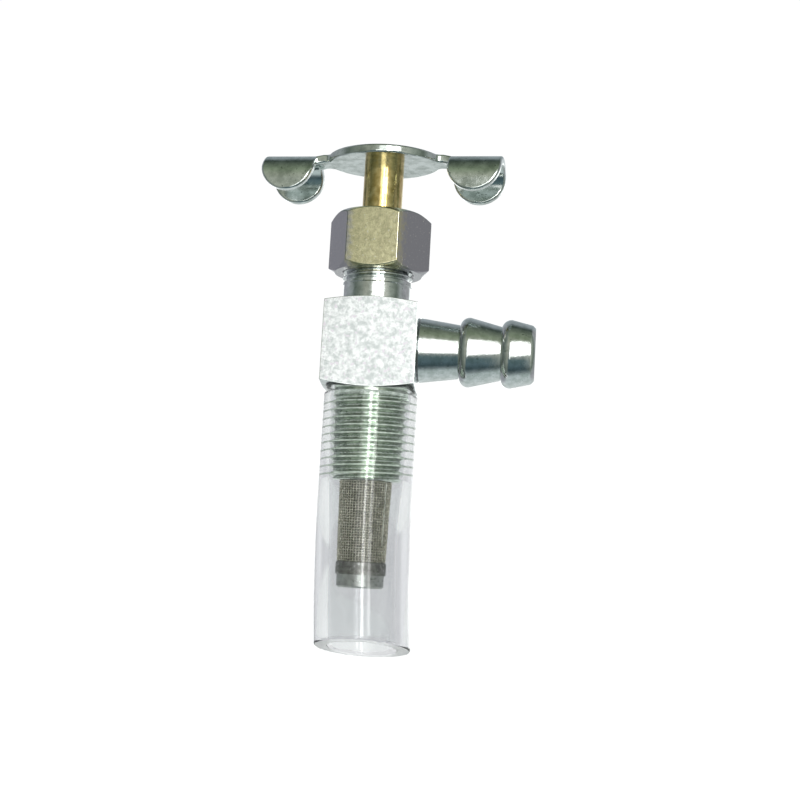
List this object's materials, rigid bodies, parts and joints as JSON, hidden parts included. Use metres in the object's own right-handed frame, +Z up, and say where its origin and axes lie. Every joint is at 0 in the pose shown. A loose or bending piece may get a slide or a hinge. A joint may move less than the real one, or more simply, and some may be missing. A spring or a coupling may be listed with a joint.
{
  "type": "screw-in tap",
  "caption": "Screw-down tap with a taper pipe thread and gauze strainer below, a barbed hose tail to one side, a gland nut, a winged handle and a clear guard sleeve.",
  "frame": {"origin": "centre of the square body's bottom face, where the tank thread begins", "axes": "+Z up along the spindle towards the handle, +X along the hose tail, and -Y towards the viewer of the picture"},
  "size_m": [0.049, 0.0162, 0.088],
  "materials": {
    "zinc_plated_steel": "bright zinc plating, turned",
    "plated_sheet": "bright plated, pressed",
    "brass": "turned, slightly dull",
    "plated_brass": "nickel plated, grey",
    "gauze": "woven wire",
    "ferrule": "dull",
    "packing": "matt",
    "clear_plastic": "clear, soft, glossy"
  },
  "bodies": {
    "tap": {"tap_body": "zinc_plated_steel", "hose_tail": "zinc_plated_steel", "gland_nut": "plated_brass", "gland_follower": "brass", "packing_ring_lower": "packing", "packing_ring_upper": "packing", "strainer_gauze": "gauze", "strainer_ring": "zinc_plated_steel", "strainer_ferrule": "ferrule", "strainer_plug": "zinc_plated_steel"},
    "cone": {"valve_cone": "brass"},
    "spindle_and_handle": {"spindle": "brass", "handle": "plated_sheet"},
    "sleeve": {"guard_sleeve": "clear_plastic"}
  },
  "joints": [
    {"name": "spindle_lift", "type": "slide", "parent": "tap", "child": "cone", "axis": [0, 0, 1], "range_m": [0, 0.0025]},
    {"name": "handle_turn", "type": "hinge", "parent": "cone", "child": "spindle_and_handle", "pos_m": [0, 0, 0.0409], "axis": [0, 0, 1], "range_deg": [0, 720]},
    {"name": "sleeve_pull", "type": "slide", "parent": "tap", "child": "sleeve", "axis": [0, 0, -1], "range_m": [0, 0.046]}
  ],
  "couplings": [
    {"joint": "handle_turn", "follows": "spindle_lift", "rad_per_m": 5026.5}
  ]
}
